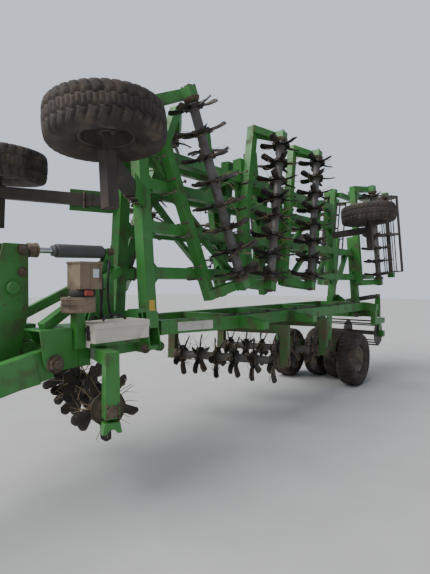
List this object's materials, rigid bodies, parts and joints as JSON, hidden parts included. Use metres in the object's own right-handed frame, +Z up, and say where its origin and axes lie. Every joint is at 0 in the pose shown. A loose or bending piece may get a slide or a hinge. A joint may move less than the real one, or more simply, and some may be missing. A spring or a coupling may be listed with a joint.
{
  "type": "folding rotary tine cultivator",
  "caption": "Towed cultivator with slanting gangs of twisted star rotors, cage rollers behind, gauge wheels and two wings folded upright over a wheeled centre frame.",
  "frame": {"origin": "middle of the machine's footprint, on the ground", "axes": "+X forward, towards the towing eye; +Y to the machine's left; +Z up"},
  "size_m": [9.4328, 2.4668, 3.6681],
  "materials": {
    "green_paint": "worn gloss paint with dirt",
    "rotor_iron": "worn and muddy iron",
    "cage_steel": "rusty worn steel",
    "tyre": "dusty rubber",
    "rim": "dirty beige paint",
    "rod_chrome": "polished",
    "cylinder_paint": "dull black paint",
    "box_plastic": "dusty pale grey",
    "unit_paint": "dusty tan"
  },
  "bodies": {
    "chassis": {"frame_spine": "green_paint", "frame_rails": "green_paint", "frame_cross": "green_paint", "gang_frame_centre_front": "green_paint", "gang_frame_centre_rear": "green_paint", "roller_frame_centre": "green_paint", "tool_box": "box_plastic", "hydraulic_unit": "unit_paint"},
    "drawbar": {"drawbar": "green_paint"},
    "jack": {"jack_leg": "green_paint"},
    "top_cylinder": {"top_cylinder": "cylinder_paint"},
    "top_rod": {"top_rod": "rod_chrome"},
    "wing_left": {"wing_posts_left": "green_paint", "wing_bars_left": "green_paint", "wing_braces_left": "green_paint", "gang_frame_front_left": "green_paint", "gang_frame_rear_left": "green_paint", "roller_frame_left": "green_paint"},
    "fold_cylinder_left": {"fold_cylinder_left": "cylinder_paint"},
    "fold_rod_left": {"fold_rod_left": "rod_chrome"},
    "carriage_left": {"carriage_left": "green_paint"},
    "wing_right": {"wing_posts_right": "green_paint", "wing_bars_right": "green_paint", "wing_braces_right": "green_paint", "gang_frame_front_right": "green_paint", "gang_frame_rear_right": "green_paint", "roller_frame_right": "green_paint"},
    "fold_cylinder_right": {"fold_cylinder_right": "cylinder_paint"},
    "fold_rod_right": {"fold_rod_right": "rod_chrome"},
    "carriage_right": {"carriage_right": "green_paint"},
    "rotor_centre_1": {"rotor_centre_1": "rotor_iron"},
    "rotor_centre_2": {"rotor_centre_2": "rotor_iron"},
    "rotor_centre_3": {"rotor_centre_3": "rotor_iron"},
    "rotor_left_1": {"rotor_left_1": "rotor_iron"},
    "rotor_left_2": {"rotor_left_2": "rotor_iron"},
    "rotor_left_3": {"rotor_left_3": "rotor_iron"},
    "rotor_left_4": {"rotor_left_4": "rotor_iron"},
    "rotor_right_1": {"rotor_right_1": "rotor_iron"},
    "rotor_right_2": {"rotor_right_2": "rotor_iron"},
    "rotor_right_3": {"rotor_right_3": "rotor_iron"},
    "rotor_right_4": {"rotor_right_4": "rotor_iron"},
    "roller_centre": {"roller_centre": "cage_steel"},
    "roller_left": {"roller_left": "cage_steel"},
    "roller_right": {"roller_right": "cage_steel"},
    "wheel_outer_left": {"transport_tyre_outer_left": "tyre", "transport_rim_outer_left": "rim"},
    "wheel_inner_left": {"transport_tyre_inner_left": "tyre", "transport_rim_inner_left": "rim"},
    "wheel_outer_right": {"transport_tyre_outer_right": "tyre", "transport_rim_outer_right": "rim"},
    "wheel_inner_right": {"transport_tyre_inner_right": "tyre", "transport_rim_inner_right": "rim"},
    "gauge_front_left": {"gauge_tyre_front_left": "tyre", "gauge_rim_front_left": "rim"},
    "gauge_rear_left": {"gauge_tyre_rear_left": "tyre", "gauge_rim_rear_left": "rim"},
    "gauge_front_right": {"gauge_tyre_front_right": "tyre", "gauge_rim_front_right": "rim"},
    "gauge_rear_right": {"gauge_tyre_rear_right": "tyre", "gauge_rim_rear_right": "rim"}
  },
  "joints": [
    {"name": "drawbar_pitch", "type": "hinge", "parent": "chassis", "child": "drawbar", "pos_m": [2.5485, 0, 1.08], "axis": [0, 1, 0], "range_deg": [-6, 6]},
    {"name": "top_cylinder_swing", "type": "hinge", "parent": "chassis", "child": "top_cylinder", "pos_m": [1.7785, 0, 1.955], "axis": [0, 1, 0], "range_deg": [-2, 2]},
    {"name": "top_rod_slide", "type": "slide", "parent": "top_cylinder", "child": "top_rod", "axis": [0.9995, 0, -0.0301], "range_m": [-0.1, 0.1]},
    {"name": "jack_slide", "type": "slide", "parent": "drawbar", "child": "jack", "axis": [0, 0, 1], "range_m": [0, 0.35]},
    {"name": "wing_fold_left", "type": "hinge", "parent": "chassis", "child": "wing_left", "pos_m": [1.4985, 0.3, 1.07], "axis": [-1, 0, 0], "range_deg": [0, 94.5]},
    {"name": "fold_cylinder_left_swing", "type": "hinge", "parent": "chassis", "child": "fold_cylinder_left", "pos_m": [1.6485, -0.6, 1.42], "axis": [-1, 0, 0], "range_deg": [-12, 12]},
    {"name": "fold_rod_left_slide", "type": "slide", "parent": "fold_cylinder_left", "child": "fold_rod_left", "axis": [0, 0.9823, -0.1874], "range_m": [0, 0.53]},
    {"name": "lift_left", "type": "hinge", "parent": "chassis", "child": "carriage_left", "pos_m": [-2.0515, 0.395, 0.72], "axis": [0, 1, 0], "range_deg": [0, 28]},
    {"name": "wing_fold_right", "type": "hinge", "parent": "chassis", "child": "wing_right", "pos_m": [1.4985, -0.3, 1.07], "axis": [1, 0, 0], "range_deg": [0, 94.5]},
    {"name": "fold_cylinder_right_swing", "type": "hinge", "parent": "chassis", "child": "fold_cylinder_right", "pos_m": [-3.8015, 0.6, 1.42], "axis": [1, 0, 0], "range_deg": [-12, 12]},
    {"name": "fold_rod_right_slide", "type": "slide", "parent": "fold_cylinder_right", "child": "fold_rod_right", "axis": [0, -0.9823, -0.1874], "range_m": [0, 0.53]},
    {"name": "lift_right", "type": "hinge", "parent": "chassis", "child": "carriage_right", "pos_m": [-2.0515, -0.395, 0.72], "axis": [0, 1, 0], "range_deg": [0, 28]},
    {"name": "rotor_centre_1_spin", "type": "hinge", "parent": "chassis", "child": "rotor_centre_1", "pos_m": [2.0305, 0, 0.74], "axis": [0.342, 0.9397, 0], "continuous": true},
    {"name": "rotor_centre_2_spin", "type": "hinge", "parent": "chassis", "child": "rotor_centre_2", "pos_m": [-0.0085, 0, 0.74], "axis": [-0.2588, 0.9659, 0], "continuous": true},
    {"name": "rotor_centre_3_spin", "type": "hinge", "parent": "chassis", "child": "rotor_centre_3", "pos_m": [-1.0415, 0, 0.74], "axis": [-0.2588, 0.9659, 0], "continuous": true},
    {"name": "rotor_left_1_spin", "type": "hinge", "parent": "wing_left", "child": "rotor_left_1", "pos_m": [0.7985, 0.51129, 2.59127], "axis": [0.342, -0.0737, 0.9368], "continuous": true},
    {"name": "rotor_left_2_spin", "type": "hinge", "parent": "wing_left", "child": "rotor_left_2", "pos_m": [-0.3515, 0.51129, 2.59127], "axis": [-0.2588, -0.0758, 0.9629], "continuous": true},
    {"name": "rotor_left_3_spin", "type": "hinge", "parent": "wing_left", "child": "rotor_left_3", "pos_m": [-1.3815, 0.51129, 2.59127], "axis": [-0.2588, -0.0758, 0.9629], "continuous": true},
    {"name": "rotor_left_4_spin", "type": "hinge", "parent": "wing_left", "child": "rotor_left_4", "pos_m": [-3.9215, 0.51443, 2.55139], "axis": [0, -0.0785, 0.9969], "continuous": true},
    {"name": "rotor_right_1_spin", "type": "hinge", "parent": "wing_right", "child": "rotor_right_1", "pos_m": [0.7985, -0.51129, 2.59127], "axis": [0.342, -0.0737, -0.9368], "continuous": true},
    {"name": "rotor_right_2_spin", "type": "hinge", "parent": "wing_right", "child": "rotor_right_2", "pos_m": [-0.3515, -0.51129, 2.59127], "axis": [-0.2588, -0.0758, -0.9629], "continuous": true},
    {"name": "rotor_right_3_spin", "type": "hinge", "parent": "wing_right", "child": "rotor_right_3", "pos_m": [-1.3815, -0.51129, 2.59127], "axis": [-0.2588, -0.0758, -0.9629], "continuous": true},
    {"name": "rotor_right_4_spin", "type": "hinge", "parent": "wing_right", "child": "rotor_right_4", "pos_m": [-3.9215, -0.51443, 2.55139], "axis": [0, -0.0785, -0.9969], "continuous": true},
    {"name": "roller_centre_spin", "type": "hinge", "parent": "chassis", "child": "roller_centre", "pos_m": [-3.9015, 0, 0.72], "axis": [0, 1, 0], "continuous": true},
    {"name": "roller_left_spin", "type": "hinge", "parent": "wing_left", "child": "roller_left", "pos_m": [-4.4815, 0.57111, 2.59598], "axis": [0, -0.0785, 0.9969], "continuous": true},
    {"name": "roller_right_spin", "type": "hinge", "parent": "wing_right", "child": "roller_right", "pos_m": [-4.4815, -0.57111, 2.59598], "axis": [0, -0.0785, -0.9969], "continuous": true},
    {"name": "wheel_outer_left_spin", "type": "hinge", "parent": "carriage_left", "child": "wheel_outer_left", "pos_m": [-2.6445, 0.6, 0.4225], "axis": [0, 1, 0], "continuous": true},
    {"name": "wheel_inner_left_spin", "type": "hinge", "parent": "carriage_left", "child": "wheel_inner_left", "pos_m": [-3.0515, 0.187, 0.4225], "axis": [0, 1, 0], "continuous": true},
    {"name": "wheel_outer_right_spin", "type": "hinge", "parent": "carriage_right", "child": "wheel_outer_right", "pos_m": [-2.6445, -0.6, 0.4225], "axis": [0, 1, 0], "continuous": true},
    {"name": "wheel_inner_right_spin", "type": "hinge", "parent": "carriage_right", "child": "wheel_inner_right", "pos_m": [-3.0515, -0.187, 0.4225], "axis": [0, 1, 0], "continuous": true},
    {"name": "gauge_front_left_spin", "type": "hinge", "parent": "wing_left", "child": "gauge_front_left", "pos_m": [2.3965, 0.80608, 2.76493], "axis": [0, -0.0785, 0.9969], "continuous": true},
    {"name": "gauge_rear_left_spin", "type": "hinge", "parent": "wing_left", "child": "gauge_rear_left", "pos_m": [-2.7145, 0.80608, 2.76493], "axis": [0, -0.0785, 0.9969], "continuous": true},
    {"name": "gauge_front_right_spin", "type": "hinge", "parent": "wing_right", "child": "gauge_front_right", "pos_m": [2.3965, -0.80608, 2.76493], "axis": [0, -0.0785, -0.9969], "continuous": true},
    {"name": "gauge_rear_right_spin", "type": "hinge", "parent": "wing_right", "child": "gauge_rear_right", "pos_m": [-2.7145, -0.80608, 2.76493], "axis": [0, -0.0785, -0.9969], "continuous": true}
  ],
  "couplings": [
    {"joint": "top_cylinder_swing", "follows": "drawbar_pitch", "ratio": 0.036},
    {"joint": "top_rod_slide", "follows": "drawbar_pitch", "m_per_rad": 0.85004},
    {"joint": "fold_cylinder_left_swing", "follows": "wing_fold_left", "ratio": -0.061683},
    {"joint": "fold_rod_left_slide", "follows": "wing_fold_left", "m_per_rad": 0.31031},
    {"joint": "fold_cylinder_right_swing", "follows": "wing_fold_right", "ratio": -0.061683},
    {"joint": "fold_rod_right_slide", "follows": "wing_fold_right", "m_per_rad": 0.31031}
  ]
}
